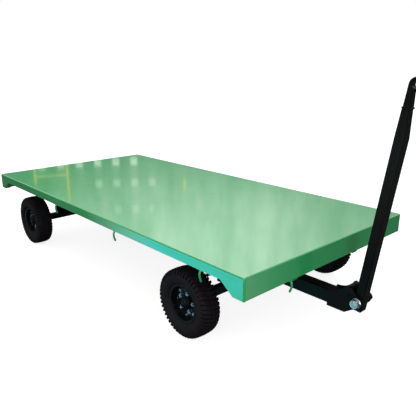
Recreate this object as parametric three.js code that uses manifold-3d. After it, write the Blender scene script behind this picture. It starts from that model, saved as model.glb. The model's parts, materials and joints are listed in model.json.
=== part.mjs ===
// Four-wheel platform trailer: a flat enamelled deck on a welded frame, a fixed rear axle, a front
// axle on a turntable, and a drawbar whose upright handle folds down to tow.
// Millimetres. +X points to the drawbar end, +Y to the left side, +Z up. The finished group stands
// on z = 0 with the middle of its bounding box over the origin.
import * as THREE from 'three';
import { mergeVertices } from 'three/addons/utils/BufferGeometryUtils.js';
import Module from 'manifold-3d';

const wasm = await Module();
wasm.setup();

// ---- Driving dimensions -------------------------------------------------------------------------

const GAP = 0.3; // between pieces that touch
const RUNNING_GAP = 0.4; // round a pin or shaft that turns

const DECK = { length: 3000, width: 1500, plate: 4.5, top: 543.7 };
const END_BEAM = { depth: 117, flange: 50, wall: 6 };
const RAIL = { depth: 54, wall: 6, flange: 45, flangeLength: 2640, endLength: 76, slopeLength: 86 };
const MAIN_BEAM = { depth: 112.7, flange: 50, wall: 6, outerY: 325 };
const CROSS_MEMBER = { flange: 40, wall: 5, places: [-1030, -340, 340, 1030] };
const HOOK = { rod: 6, sidePlaces: [1195, 390, -415], frontY: 395 };
const HOOK_LINE = [[-3, -5], [2, -13], [4, -24], [0, -42], [-8, -64]]; // outwards, then up

const TYRE = { radius: 203.4, treadHalfWidth: 42, bead: 101.6, beadHalfWidth: 45 };
const SIDEWALL = { shoulderRadius: 189, shoulder: 61.5, widestRadius: 153, widest: 66, footRadius: 116 };
const CARCASS = { beadHalfWidth: 28, widestRadius: 150, widest: 54, crownRadius: 186, crown: 34 };
const RIM = { flangeRadius: 115, wall: 4, halfDisc: 8 };
const CLAMP_BOLTS = { count: 8, circle: 78, phase: 1, radius: 10, height: 8 };
const HUB = { barrel: 40, bore: 32, back: -42, front: 26, flange: 72, flangeThickness: 12 };
const STUDS = { count: 5, circle: 55, phase: 153, radius: 7, reach: 16, nutRadius: 12.7, nutHeight: 12 };
const BEARING = { back: -36, front: 18 };
const DUST_CAP = { start: 20, radius: 38, rim: 3, domeRadius: 28, wall: 5, shoulder: 42, top: 47 };
const WHEEL_SIDES = 24; // of every turned wheel piece, so that their facets line up
const WHEEL_Y = 658.8;
const FRONT_AXLE_X = 1000;
const REAR_AXLE_X = -1027.5;
const AXLE = { side: 50, halfBeam: 592, shoulder: 25, shoulderBack: 37, spindle: 17.5, reach: 34 };
const AXLE_NUT = { radius: 23, start: 18.5, end: 30 };

const PEDESTAL = { halfLength: 55, width: 190, middleY: 350, wall: 8 };
const KING_PIN = { radius: 15, headRadius: 30, headHeight: 16, nutRadius: 25, nutHeight: 20, tail: 6 };
const TOP_PLATE = { length: 460, width: 660, thickness: 11.7 };
const RING = { outer: 200, inner: 160, height: 19.7 };
const RACE = { outer: 192, inner: 168, height: 7.7 };
const TURNTABLE_SIDES = 32; // of both rings and the race between them
const PIN_SIDES = 24; // of every pin, and of the bores round it
const BOLSTER = { halfLength: 92, halfWidth: 440, height: 60, wall: 8 };
const BOLSTER_LEG = { length: 100, width: 120, middleY: 330 };

const DRAWBAR = { width: 80, height: 85, wall: 5, end: 600 };
const EAR = { thickness: 10, start: 500, bottom: 164, corner: 612, startTop: 262 };
const HORN = { x: 617, z: 310, radius: 15, rear: 150, dipX: 575, dipZ: 265 };
const PIVOT = { x: 680, z: 245, radius: 15, eyeRadius: 28, halfLength: 82 };
const PIVOT_NUT = { radius: 26.5, height: 24, washerRadius: 28, washer: 4 };
const STOP = { x0: 617, x1: 640, z0: 298, z1: 326 };
const KEEPER = { x: 630, z: 271, radius: 9, height: 7 };

const HANDLE = {
  tilt: 7.4, // degrees forward of upright, at rest
  length: 50,
  width: 65,
  wall: 4.5,
  bottom: -57,
  taperStart: 905,
  top: 1049,
  topFront: 10.5,
  topHalfWidth: 27,
};
const BUSH = { radius: 22, halfLength: 40 };
const EYE = { x: 11.5, z: 1159, radius: 34, bore: 18, width: 45 };
const NECK = { rear: -24, front: 13, join: -103 }; // join: where its front meets the eye, in degrees

// ---- Levels that follow from them ---------------------------------------------------------------

const frameTop = DECK.top - DECK.plate - GAP;
const beamBottom = frameTop - END_BEAM.depth;
const railBottom = frameTop - RAIL.depth;
const crossBottom = railBottom + RAIL.wall + GAP;
const mainBottom = crossBottom - GAP - MAIN_BEAM.depth;
const plateBottom = mainBottom - GAP - TOP_PLATE.thickness;
const upperRingBottom = plateBottom - GAP - RING.height;
const raceBottom = upperRingBottom - GAP - RACE.height;
const lowerRingBottom = raceBottom - GAP - RING.height;
const bolsterTop = lowerRingBottom - GAP;
const bolsterBottom = bolsterTop - BOLSTER.height;
const axleTop = TYRE.radius + AXLE.side / 2;
const halfDeckLength = DECK.length / 2;
const halfDeckWidth = DECK.width / 2;
const insideRails = halfDeckWidth - RAIL.wall - GAP;

// ---- Finishes -----------------------------------------------------------------------------------

const FINISH = {
  greenEnamel: { color: 0x5fc98f, roughness: 0.25, metalness: 0.0 },
  blackPaint: { color: 0x101113, roughness: 0.35, metalness: 0.0 },
  tyreRubber: { color: 0x1b1a1d, roughness: 0.85, metalness: 0.0 },
  zinc: { color: 0xc9ccd0, roughness: 0.3, metalness: 1.0 },
  bearingSteel: { color: 0x9a9da1, roughness: 0.25, metalness: 1.0 },
};

// ---- Shape helpers ------------------------------------------------------------------------------

const AXIS_X = new THREE.Vector3(1, 0, 0);
const AXIS_Y = new THREE.Vector3(0, 1, 0);
const AXIS_Z = new THREE.Vector3(0, 0, 1);
const SECTION_ACROSS_X = new THREE.Matrix4().makeBasis(AXIS_Y, AXIS_Z, AXIS_X);
const SECTION_ACROSS_Y = new THREE.Matrix4().makeBasis(AXIS_X, AXIS_Z, AXIS_Y.clone().negate());

const radians = THREE.MathUtils.degToRad;

function polygon(points) {
  return new THREE.Shape(points.map(([x, y]) => new THREE.Vector2(x, y)));
}

function rectangle(width, height) {
  return polygon([
    [-width / 2, -height / 2],
    [width / 2, -height / 2],
    [width / 2, height / 2],
    [-width / 2, height / 2],
  ]);
}

function withHole(shape, x, y, radius) {
  const hole = new THREE.Path();
  hole.absarc(x, y, radius, 0, Math.PI * 2, true);
  shape.holes.push(hole);
  return shape;
}

// A channel section standing on its lower flange: the web's outer face at 0, flanges to one side.
function channel(height, flange, wall, side) {
  return polygon([
    [0, 0],
    [side * flange, 0],
    [side * flange, wall],
    [side * wall, wall],
    [side * wall, height - wall],
    [side * flange, height - wall],
    [side * flange, height],
    [0, height],
  ]);
}

function extruded(shape, length) {
  const geometry = new THREE.ExtrudeGeometry(shape, { depth: length, bevelEnabled: false });
  return geometry.translate(0, 0, -length / 2);
}

// Extrusions centred on their section's plane: alongX takes a (y, z) section, alongY an (x, z) one.
function alongX(shape, length) {
  return extruded(shape, length).applyMatrix4(SECTION_ACROSS_X);
}

function alongY(shape, length) {
  return extruded(shape, length).applyMatrix4(SECTION_ACROSS_Y);
}

// A body turned about Z from [radius, z] points. A ring's profile closes on itself.
function turned(profile, sides, isRing = false) {
  const points = profile.map(([r, z]) => new THREE.Vector2(r, z));
  if (isRing) points.push(points[0].clone());
  return new THREE.LatheGeometry(points, sides, Math.PI / sides).rotateX(Math.PI / 2);
}

function rod(radius, from, to, sides) {
  return turned([[0, from], [radius, from], [radius, to], [0, to]], sides);
}

function ring(inner, outer, from, to, sides) {
  return turned([[inner, from], [outer, from], [outer, to], [inner, to]], sides, true);
}

function solidOf(geometry) {
  const bare = geometry.clone();
  bare.deleteAttribute('normal');
  bare.deleteAttribute('uv');
  const welded = mergeVertices(bare, 1e-4);
  const vertProperties = new Float32Array(welded.attributes.position.array);
  const triVerts = new Uint32Array(welded.index.array);
  return new wasm.Manifold(new wasm.Mesh({ numProp: 3, vertProperties, triVerts }));
}

function geometryOf(solid) {
  const { vertProperties, triVerts } = solid.getMesh();
  const geometry = new THREE.BufferGeometry();
  geometry.setAttribute('position', new THREE.BufferAttribute(new Float32Array(vertProperties), 3));
  geometry.setIndex(new THREE.BufferAttribute(new Uint32Array(triVerts), 1));
  geometry.computeVertexNormals();
  return geometry;
}

function joined(...geometries) {
  return geometryOf(geometries.map(solidOf).reduce((whole, piece) => whole.add(piece)));
}

function cut(geometry, ...tools) {
  const whole = solidOf(geometry);
  return geometryOf(tools.map(solidOf).reduce((left, tool) => left.subtract(tool), whole));
}

function common(first, second) {
  return geometryOf(solidOf(first).intersect(solidOf(second)));
}

// Copies of a body spaced round Z, the first one at `phase` degrees.
function around({ count, circle, phase }, make) {
  return Array.from({ length: count }, (_, i) => {
    const angle = radians(phase) + (i * Math.PI * 2) / count;
    return make().translate(circle * Math.cos(angle), circle * Math.sin(angle), 0);
  });
}

function named(name, geometry, finish, x = 0, y = 0, z = 0) {
  const mesh = new THREE.Mesh(geometry, new THREE.MeshStandardMaterial(finish));
  mesh.name = name;
  mesh.position.set(x, y, z);
  return mesh;
}

// ---- Deck and frame -----------------------------------------------------------------------------

// The rail's web is shallow between its ends and drops to the end beams' depth through a slope.
function sideRailGeometry(inward) {
  const full = halfDeckLength - RAIL.endLength;
  const shallow = full - RAIL.slopeLength;
  const outline = polygon([
    [-halfDeckLength, beamBottom],
    [-full, beamBottom],
    [-shallow, railBottom],
    [shallow, railBottom],
    [full, beamBottom],
    [halfDeckLength, beamBottom],
    [halfDeckLength, frameTop],
    [-halfDeckLength, frameTop],
  ]);
  const web = alongY(outline, RAIL.wall);
  const flange = new THREE.BoxGeometry(RAIL.flangeLength, RAIL.flange, RAIL.wall).translate(
    0,
    inward * (RAIL.flange / 2 - RAIL.wall / 2),
    railBottom + RAIL.wall / 2,
  );
  return joined(web, flange);
}

function deckParts() {
  const plate = new THREE.BoxGeometry(DECK.length, DECK.width, DECK.plate);
  const endBeam = (side) => {
    const section = channel(END_BEAM.depth, END_BEAM.flange, END_BEAM.wall, side);
    return alongY(section, insideRails * 2);
  };
  const mainBeam = (side) => {
    const section = channel(MAIN_BEAM.depth, MAIN_BEAM.flange, MAIN_BEAM.wall, side);
    return alongX(section, (halfDeckLength - END_BEAM.flange - GAP) * 2);
  };
  const crossMember = (x, i) => {
    const section = channel(frameTop - crossBottom, CROSS_MEMBER.flange, CROSS_MEMBER.wall, 1);
    const start = x - CROSS_MEMBER.flange / 2;
    const geometry = alongY(section, insideRails * 2);
    return named(`cross_member_${i + 1}`, geometry, FINISH.greenEnamel, start, 0, crossBottom);
  };
  const railY = halfDeckWidth - RAIL.wall / 2;
  return [
    named('deck_plate', plate, FINISH.greenEnamel, 0, 0, DECK.top - DECK.plate / 2),
    named('front_beam', endBeam(-1), FINISH.greenEnamel, halfDeckLength, 0, beamBottom),
    named('rear_beam', endBeam(1), FINISH.greenEnamel, -halfDeckLength, 0, beamBottom),
    named('side_rail_left', sideRailGeometry(-1), FINISH.greenEnamel, 0, railY, 0),
    named('side_rail_right', sideRailGeometry(1), FINISH.greenEnamel, 0, -railY, 0),
    named('main_beam_left', mainBeam(-1), FINISH.greenEnamel, 0, MAIN_BEAM.outerY, mainBottom),
    named('main_beam_right', mainBeam(1), FINISH.greenEnamel, 0, -MAIN_BEAM.outerY, mainBottom),
    ...CROSS_MEMBER.places.map(crossMember),
  ];
}

// A bent rod welded under an edge: it bows outwards along local +X and hangs down local -Z.
function ropeHook(name, x, y, z, heading) {
  const line = HOOK_LINE.map(([out, up]) => new THREE.Vector3(out, 0, up));
  const section = new THREE.Shape().absarc(0, 0, HOOK.rod, 0, Math.PI * 2);
  const geometry = new THREE.ExtrudeGeometry(section, {
    steps: 8,
    extrudePath: new THREE.CatmullRomCurve3(line),
    curveSegments: 3,
  });
  const mesh = named(name, geometry, FINISH.greenEnamel, x, y, z);
  mesh.rotation.z = heading;
  return mesh;
}

function ropeHooks() {
  const side = (name, y, heading) =>
    HOOK.sidePlaces.map((x, i) => ropeHook(`rope_hook_${name}_${i + 1}`, x, y, railBottom, heading));
  return [
    ...side('left', halfDeckWidth, Math.PI / 2),
    ...side('right', -halfDeckWidth, -Math.PI / 2),
    ropeHook('rope_hook_front_left', halfDeckLength, HOOK.frontY, beamBottom, 0),
    ropeHook('rope_hook_front_right', halfDeckLength, -HOOK.frontY, beamBottom, 0),
  ];
}

// ---- Axles and wheels ---------------------------------------------------------------------------

// A square beam with a turned spindle and its retaining nut at each end, centred on its own axis.
function axleGeometry() {
  const beam = new THREE.BoxGeometry(AXLE.side, AXLE.halfBeam * 2, AXLE.side);
  const spindle = (direction) => {
    const start = AXLE.halfBeam - AXLE.side / 5;
    const shoulderEnd = WHEEL_Y - AXLE.shoulderBack;
    const end = WHEEL_Y + AXLE.reach;
    const turnedEnd = turned(
      [
        [0, start],
        [AXLE.shoulder, start],
        [AXLE.shoulder, shoulderEnd],
        [AXLE.spindle, shoulderEnd],
        [AXLE.spindle, end],
        [0, end],
      ],
      12,
    );
    const nut = rod(AXLE_NUT.radius, WHEEL_Y + AXLE_NUT.start, WHEEL_Y + AXLE_NUT.end, 6);
    return joined(turnedEnd, nut).rotateX(direction * Math.PI / 2);
  };
  return joined(beam, spindle(1), spindle(-1));
}

function tyreGeometry() {
  const crown = TYRE.radius / Math.cos(Math.PI / WHEEL_SIDES);
  const bead = TYRE.bead + GAP;
  const outer = [
    [bead, TYRE.beadHalfWidth],
    [SIDEWALL.footRadius, TYRE.beadHalfWidth],
    [SIDEWALL.widestRadius, SIDEWALL.widest],
    [SIDEWALL.shoulderRadius, SIDEWALL.shoulder],
    [crown, TYRE.treadHalfWidth],
  ];
  const inner = [
    [bead, CARCASS.beadHalfWidth],
    [CARCASS.widestRadius, CARCASS.widest],
    [CARCASS.crownRadius, CARCASS.crown],
  ];
  const below = (points) => points.map(([r, z]) => [r, -z]);
  const outside = [...below(outer), ...outer.reverse()];
  const inside = [...inner, ...below(inner).reverse()];
  return turned([...outside, ...inside], WHEEL_SIDES, true);
}

function rimGeometry() {
  const { wall, flangeRadius, halfDisc } = RIM;
  const barrel = TYRE.bead;
  const seat = TYRE.beadHalfWidth + GAP;
  const lip = seat + wall;
  const hole = HUB.barrel + GAP;
  const upper = [
    [barrel, seat],
    [flangeRadius, seat],
    [flangeRadius, lip],
    [barrel - wall, lip],
    [barrel - wall, halfDisc],
    [hole, halfDisc],
  ];
  const lower = upper.map(([r, z]) => [r, -z]).reverse();
  const body = turned([...lower, ...upper], WHEEL_SIDES, true);
  const studHoles = around(STUDS, () => rod(STUDS.radius + 1, -halfDisc - 1, halfDisc + 1, 6));
  const bolts = around(CLAMP_BOLTS, () =>
    rod(CLAMP_BOLTS.radius, halfDisc - 1, halfDisc + CLAMP_BOLTS.height, 6),
  );
  return joined(cut(body, ...studHoles), ...bolts);
}

function hubGeometry() {
  const seat = -RIM.halfDisc - GAP;
  const flangeBack = seat - HUB.flangeThickness;
  const nutStart = RIM.halfDisc + GAP;
  const body = turned(
    [
      [HUB.bore, HUB.back],
      [HUB.barrel, HUB.back],
      [HUB.barrel, flangeBack],
      [HUB.flange, flangeBack],
      [HUB.flange, seat],
      [HUB.barrel, seat],
      [HUB.barrel, HUB.front],
      [HUB.bore, HUB.front],
    ],
    WHEEL_SIDES,
    true,
  );
  const stud = () => {
    const shank = rod(STUDS.radius, seat - 3, nutStart + STUDS.reach, 6);
    return joined(shank, rod(STUDS.nutRadius, nutStart, nutStart + STUDS.nutHeight, 6));
  };
  return joined(body, ...around(STUDS, stud));
}

// The bearing pair and its spacer, as one sleeve between the spindle and the hub.
function bearingGeometry() {
  const inner = AXLE.spindle + RUNNING_GAP;
  return ring(inner, HUB.bore - GAP, BEARING.back, BEARING.front, WHEEL_SIDES);
}

// A pressed cap: a skirt inside the hub's bore, a rim on the hub's end and a dome over the axle nut.
function dustCapGeometry() {
  const { start, radius, rim, domeRadius, wall, shoulder, top } = DUST_CAP;
  const skirt = HUB.bore - GAP;
  return turned(
    [
      [0, top - wall],
      [domeRadius - wall + 1, shoulder - wall + 1],
      [domeRadius + 0.5, start],
      [skirt, start],
      [skirt, HUB.front + GAP],
      [radius, HUB.front + GAP],
      [radius, HUB.front + rim],
      [domeRadius, shoulder],
      [0, top],
    ],
    WHEEL_SIDES / 2,
  );
}

// A wheel in its own frame: its axis is local Z, pointing away from the trailer.
function wheel(place, x, side) {
  const group = new THREE.Group();
  group.add(
    named(`tyre_${place}`, tyreGeometry(), FINISH.tyreRubber),
    named(`rim_${place}`, rimGeometry(), FINISH.blackPaint),
    named(`hub_${place}`, hubGeometry(), FINISH.blackPaint),
    named(`bearing_${place}`, bearingGeometry(), FINISH.bearingSteel),
    named(`dust_cap_${place}`, dustCapGeometry(), FINISH.blackPaint),
  );
  group.position.set(x, side * WHEEL_Y, TYRE.radius);
  group.rotation.x = (-side * Math.PI) / 2;
  return group;
}

// ---- Rear running gear --------------------------------------------------------------------------

function rearParts() {
  const bottom = axleTop + GAP;
  const height = mainBottom - GAP - bottom;
  const pedestal = (name, y) => {
    const section = channel(height, PEDESTAL.halfLength * 2, PEDESTAL.wall, 1);
    const geometry = alongY(section, PEDESTAL.width);
    return named(name, geometry, FINISH.blackPaint, REAR_AXLE_X - PEDESTAL.halfLength, y, bottom);
  };
  return [
    named('rear_axle', axleGeometry(), FINISH.blackPaint, REAR_AXLE_X, 0, TYRE.radius),
    pedestal('rear_pedestal_left', PEDESTAL.middleY),
    pedestal('rear_pedestal_right', -PEDESTAL.middleY),
  ];
}

// ---- Turntable: the fixed half, in a frame on the king pin's axis ---------------------------------

function turntableTop() {
  const plate = extruded(
    withHole(rectangle(TOP_PLATE.length, TOP_PLATE.width), 0, 0, KING_PIN.radius + RUNNING_GAP),
    TOP_PLATE.thickness,
  );
  const plateTop = plateBottom + TOP_PLATE.thickness;
  const nutTop = bolsterTop - BOLSTER.wall - GAP;
  const headTop = plateTop + KING_PIN.headHeight;
  const nutBottom = nutTop - KING_PIN.nutHeight;
  const pin = joined(
    rod(KING_PIN.radius, nutBottom - KING_PIN.tail, headTop, PIN_SIDES),
    rod(KING_PIN.headRadius, plateTop + GAP, headTop, PIN_SIDES),
  );
  const nut = cut(
    rod(KING_PIN.nutRadius, nutBottom, nutTop, 6),
    rod(KING_PIN.radius + RUNNING_GAP, nutBottom - 1, nutTop + 1, PIN_SIDES),
  );
  const upperRing = ring(RING.inner, RING.outer, 0, RING.height, TURNTABLE_SIDES);
  const plateMiddle = plateBottom + TOP_PLATE.thickness / 2;
  return [
    named('turntable_top_plate', plate, FINISH.blackPaint, 0, 0, plateMiddle),
    named('turntable_upper_ring', upperRing, FINISH.blackPaint, 0, 0, upperRingBottom),
    named('king_pin', pin, FINISH.bearingSteel),
    named('king_pin_nut', nut, FINISH.zinc),
  ];
}

// ---- Turntable: the steering half, drawbar and fork, in the same frame ----------------------------

// A channel open downwards, with a short box leg over each end of the axle.
function bolsterGeometry() {
  const { halfLength, height, wall } = BOLSTER;
  const section = polygon([
    [-halfLength, 0],
    [-halfLength + wall, 0],
    [-halfLength + wall, height - wall],
    [halfLength - wall, height - wall],
    [halfLength - wall, 0],
    [halfLength, 0],
    [halfLength, height],
    [-halfLength, height],
  ]);
  const beam = alongY(section, BOLSTER.halfWidth * 2).translate(0, 0, bolsterBottom);
  const legBottom = axleTop + GAP;
  const legTop = bolsterTop - wall + 1;
  const legHeight = legTop - legBottom;
  const legSection = rectangle(BOLSTER_LEG.length, legHeight);
  legSection.holes.push(rectangle(BOLSTER_LEG.length - wall * 2, legHeight - wall * 2));
  const leg = (side) => {
    const middleZ = (legBottom + legTop) / 2;
    return alongY(legSection, BOLSTER_LEG.width).translate(0, side * BOLSTER_LEG.middleY, middleZ);
  };
  const pinHole = rod(KING_PIN.radius + RUNNING_GAP, bolsterBottom, bolsterTop + 1, PIN_SIDES);
  return cut(joined(beam, leg(1), leg(-1)), pinHole);
}

// The angle of the outward normal where a straight edge leaves one round corner for the next.
function sharedTangent(x0, z0, r0, x1, z1, r1) {
  const distance = Math.hypot(x1 - x0, z1 - z0);
  return Math.atan2(z1 - z0, x1 - x0) - Math.acos((r0 - r1) / distance);
}

// A fork plate: a straight root on the drawbar, a round eye on the pivot, and a horn above the stop.
function earShape() {
  const lower = sharedTangent(EAR.corner, EAR.bottom, 0, PIVOT.x, PIVOT.z, PIVOT.eyeRadius);
  const upper = sharedTangent(PIVOT.x, PIVOT.z, PIVOT.eyeRadius, HORN.x, HORN.z, HORN.radius);
  const shape = new THREE.Shape();
  shape.moveTo(EAR.start, EAR.bottom);
  shape.lineTo(EAR.corner, EAR.bottom);
  shape.absarc(PIVOT.x, PIVOT.z, PIVOT.eyeRadius, lower, upper, false);
  shape.absarc(HORN.x, HORN.z, HORN.radius, upper, radians(HORN.rear), false);
  shape.quadraticCurveTo(HORN.dipX, HORN.dipZ, EAR.start, EAR.startTop);
  return withHole(shape, PIVOT.x, PIVOT.z, PIVOT.radius + RUNNING_GAP);
}

function steeringParts() {
  const bodyTop = bolsterBottom - GAP;
  const drawbarStart = AXLE.side / 2 + GAP;
  const tubeSection = rectangle(DRAWBAR.width, DRAWBAR.height);
  tubeSection.holes.push(rectangle(DRAWBAR.width - DRAWBAR.wall * 2, DRAWBAR.height - DRAWBAR.wall * 2));
  const tube = alongX(tubeSection, DRAWBAR.end - drawbarStart);
  const drawbarX = (drawbarStart + DRAWBAR.end) / 2;
  const drawbarZ = bodyTop - DRAWBAR.height / 2;
  const earY = DRAWBAR.width / 2 + GAP + EAR.thickness / 2;
  const ear = () => alongY(earShape(), EAR.thickness);
  const keeper = rod(KEEPER.radius, EAR.thickness / 2 - 1, EAR.thickness / 2 + KEEPER.height, 6)
    .rotateX(Math.PI / 2)
    .translate(KEEPER.x, 0, KEEPER.z);
  const stop = new THREE.BoxGeometry(STOP.x1 - STOP.x0, DRAWBAR.width, STOP.z1 - STOP.z0);
  const stopX = (STOP.x0 + STOP.x1) / 2;
  const stopZ = (STOP.z0 + STOP.z1) / 2;
  const lowerRing = ring(RING.inner, RING.outer, 0, RING.height, TURNTABLE_SIDES);
  const race = ring(RACE.inner, RACE.outer, 0, RACE.height, TURNTABLE_SIDES);
  return [
    named('turntable_lower_ring', lowerRing, FINISH.blackPaint, 0, 0, lowerRingBottom),
    named('ball_race', race, FINISH.bearingSteel, 0, 0, raceBottom),
    named('steering_bolster', bolsterGeometry(), FINISH.blackPaint),
    named('front_axle', axleGeometry(), FINISH.blackPaint, 0, 0, TYRE.radius),
    named('drawbar_tube', tube, FINISH.blackPaint, drawbarX, 0, drawbarZ),
    named('drawbar_ear_left', ear(), FINISH.blackPaint, 0, earY, 0),
    named('drawbar_ear_right', joined(ear(), keeper), FINISH.blackPaint, 0, -earY, 0),
    named('handle_stop', stop, FINISH.blackPaint, stopX, 0, stopZ),
    ...pivotFasteners(),
  ];
}

// The pivot bolt lies across the fork: its head on the left, its washer and nut on the right.
function pivotFasteners() {
  const outerFace = DRAWBAR.width / 2 + GAP + EAR.thickness;
  const washerFace = outerFace + GAP + PIVOT_NUT.washer;
  const nutFace = washerFace + GAP + PIVOT_NUT.height;
  const collar = rod(PIVOT_NUT.washerRadius, outerFace + GAP, washerFace, PIN_SIDES);
  const head = rod(PIVOT_NUT.radius, washerFace - 1, PIVOT.halfLength, 6);
  const shank = rod(PIVOT.radius, -PIVOT.halfLength, washerFace, PIN_SIDES);
  const bolt = joined(shank, collar, head).rotateX(-Math.PI / 2);
  const bore = PIVOT.radius + RUNNING_GAP;
  const washer = ring(bore, PIVOT_NUT.washerRadius, outerFace + GAP, washerFace, PIN_SIDES);
  const nut = cut(
    rod(PIVOT_NUT.radius, washerFace + GAP, nutFace, 6),
    rod(bore, washerFace, nutFace + 1, PIN_SIDES),
  );
  return [
    named('pivot_bolt', bolt, FINISH.zinc, PIVOT.x, 0, PIVOT.z),
    named('pivot_washer', washer.rotateX(Math.PI / 2), FINISH.zinc, PIVOT.x, 0, PIVOT.z),
    named('pivot_nut', nut.rotateX(Math.PI / 2), FINISH.zinc, PIVOT.x, 0, PIVOT.z),
  ];
}

// ---- Handle, in a frame on the pivot's axis -------------------------------------------------------

// The handle's solid shape, drawn in by `inset` on every side. Its front and sides taper at the top.
function handleBody(inset, bottom, top) {
  const front = HANDLE.length / 2 - inset;
  const half = HANDLE.width / 2 - inset;
  const topFront = HANDLE.topFront - inset;
  const topHalf = HANDLE.topHalfWidth - inset;
  const sideView = polygon([
    [-front, bottom],
    [front, bottom],
    [front, HANDLE.taperStart],
    [topFront, top],
    [-front, top],
  ]);
  const frontView = polygon([
    [-half, bottom],
    [half, bottom],
    [half, HANDLE.taperStart],
    [topHalf, top],
    [-topHalf, top],
    [-half, HANDLE.taperStart],
  ]);
  return common(alongY(sideView, HANDLE.width), alongX(frontView, HANDLE.length));
}

function handleTubeGeometry() {
  const outside = handleBody(0, HANDLE.bottom, HANDLE.top);
  const inside = handleBody(HANDLE.wall, HANDLE.bottom - 1, HANDLE.top - HANDLE.wall);
  const bushHole = rod(BUSH.radius + GAP, -HANDLE.width, HANDLE.width, PIN_SIDES).rotateX(Math.PI / 2);
  return cut(outside, inside, bushHole);
}

// A flat neck that widens into the round towing eye.
function towEyeGeometry() {
  const start = HANDLE.top + GAP;
  const shape = new THREE.Shape();
  shape.moveTo(NECK.rear, start);
  shape.lineTo(NECK.front, start);
  shape.absarc(EYE.x, EYE.z, EYE.radius, radians(NECK.join), Math.PI, false);
  return alongY(withHole(shape, EYE.x, EYE.z, EYE.bore), EYE.width);
}

function handleParts() {
  const bore = PIVOT.radius + RUNNING_GAP;
  const bush = ring(bore, BUSH.radius, -BUSH.halfLength, BUSH.halfLength, PIN_SIDES);
  return [
    named('handle_tube', handleTubeGeometry(), FINISH.blackPaint),
    named('handle_bush', bush.rotateX(Math.PI / 2), FINISH.bearingSteel),
    named('tow_eye', towEyeGeometry(), FINISH.blackPaint),
  ];
}

// ---- The whole trailer ---------------------------------------------------------------------------

const handle = new THREE.Group().add(...handleParts());
handle.position.set(PIVOT.x, 0, PIVOT.z);
handle.rotation.y = radians(HANDLE.tilt);

const turntable = new THREE.Group().add(...turntableTop(), ...steeringParts(), handle);
turntable.position.x = FRONT_AXLE_X;

const trailer = new THREE.Group().add(
  ...deckParts(),
  ...ropeHooks(),
  ...rearParts(),
  turntable,
  wheel('front_left', FRONT_AXLE_X, 1),
  wheel('front_right', FRONT_AXLE_X, -1),
  wheel('rear_left', REAR_AXLE_X, 1),
  wheel('rear_right', REAR_AXLE_X, -1),
);

const box = new THREE.Box3().setFromObject(trailer, true);
trailer.position.x = -(box.min.x + box.max.x) / 2;
trailer.updateMatrixWorld(true);

export default trailer;
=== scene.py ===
"""Looks for the four-wheel platform trailer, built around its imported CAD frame."""

import json
import math

import bmesh
import bpy
from mathutils import Matrix, Vector


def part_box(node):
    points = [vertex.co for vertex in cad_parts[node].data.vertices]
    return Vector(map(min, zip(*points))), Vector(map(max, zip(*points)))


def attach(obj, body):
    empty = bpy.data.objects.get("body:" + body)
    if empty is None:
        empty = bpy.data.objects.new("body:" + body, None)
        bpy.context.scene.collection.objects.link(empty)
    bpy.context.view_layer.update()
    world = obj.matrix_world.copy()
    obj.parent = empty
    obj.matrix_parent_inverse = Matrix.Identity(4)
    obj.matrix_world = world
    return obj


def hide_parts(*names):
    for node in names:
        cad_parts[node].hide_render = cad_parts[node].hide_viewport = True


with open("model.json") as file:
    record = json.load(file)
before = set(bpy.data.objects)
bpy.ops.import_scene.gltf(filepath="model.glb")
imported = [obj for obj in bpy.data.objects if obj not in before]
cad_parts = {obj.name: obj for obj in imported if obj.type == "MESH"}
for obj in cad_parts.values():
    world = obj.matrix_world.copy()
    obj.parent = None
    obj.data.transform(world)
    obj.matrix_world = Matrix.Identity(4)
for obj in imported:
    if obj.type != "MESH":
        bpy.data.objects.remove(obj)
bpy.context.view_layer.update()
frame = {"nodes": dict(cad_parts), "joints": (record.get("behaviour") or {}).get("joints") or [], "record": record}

MM = 0.001  # shells are drawn in millimetres, and placed in metres
UP = Vector((0, 0, 1))

JOINT = {j["name"]: j for j in frame["joints"]}
WHEELS = ("front_left", "front_right", "rear_left", "rear_right")
SIDE = {"left": 1, "right": -1}


def middle(node):
    low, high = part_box(node)
    return (low + high) / 2


DECK_LOW, DECK_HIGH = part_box("deck_plate")
DECK_MIDDLE = middle("deck_plate")


# ---- Camera, floor and light ---------------------------------------------------------------------

CAMERA = {"place": (2.8476, -2.2436, 1.4752), "heading": 138.553, "down": 16.534, "roll": -0.188}
LENS = {"focal": 41.35, "shift": 0.032}


def make_camera():
    heading, down, roll = (math.radians(CAMERA[k]) for k in ("heading", "down", "roll"))
    look = Vector((math.cos(heading) * math.cos(down), math.sin(heading) * math.cos(down), -math.sin(down)))
    right = look.cross(UP).normalized()
    above = right.cross(look)
    side = right * math.cos(roll) + above * math.sin(roll)
    top = above * math.cos(roll) - right * math.sin(roll)
    data = bpy.data.cameras.new("camera")
    data.lens = LENS["focal"]
    data.sensor_width = 36
    data.shift_x = LENS["shift"]
    data.clip_end = 200
    camera = bpy.data.objects.new("camera", data)
    camera.matrix_world = Matrix((side, top, -look)).transposed().to_4x4()
    camera.location = Vector(CAMERA["place"]) + Vector((DECK_MIDDLE.x, 0, 0))
    bpy.context.scene.collection.objects.link(camera)
    bpy.context.scene.camera = camera


def area_light(name, place, target, size, power, color):
    data = bpy.data.lights.new(name, "AREA")
    data.shape = "RECTANGLE"
    data.size, data.size_y = size
    data.energy = power
    data.color = color
    light = bpy.data.objects.new(name, data)
    light.location = place
    light.rotation_euler = (Vector(target) - Vector(place)).to_track_quat("-Z", "Y").to_euler()
    light.visible_camera = False
    bpy.context.scene.collection.objects.link(light)


# ---- Node materials ------------------------------------------------------------------------------


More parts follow.
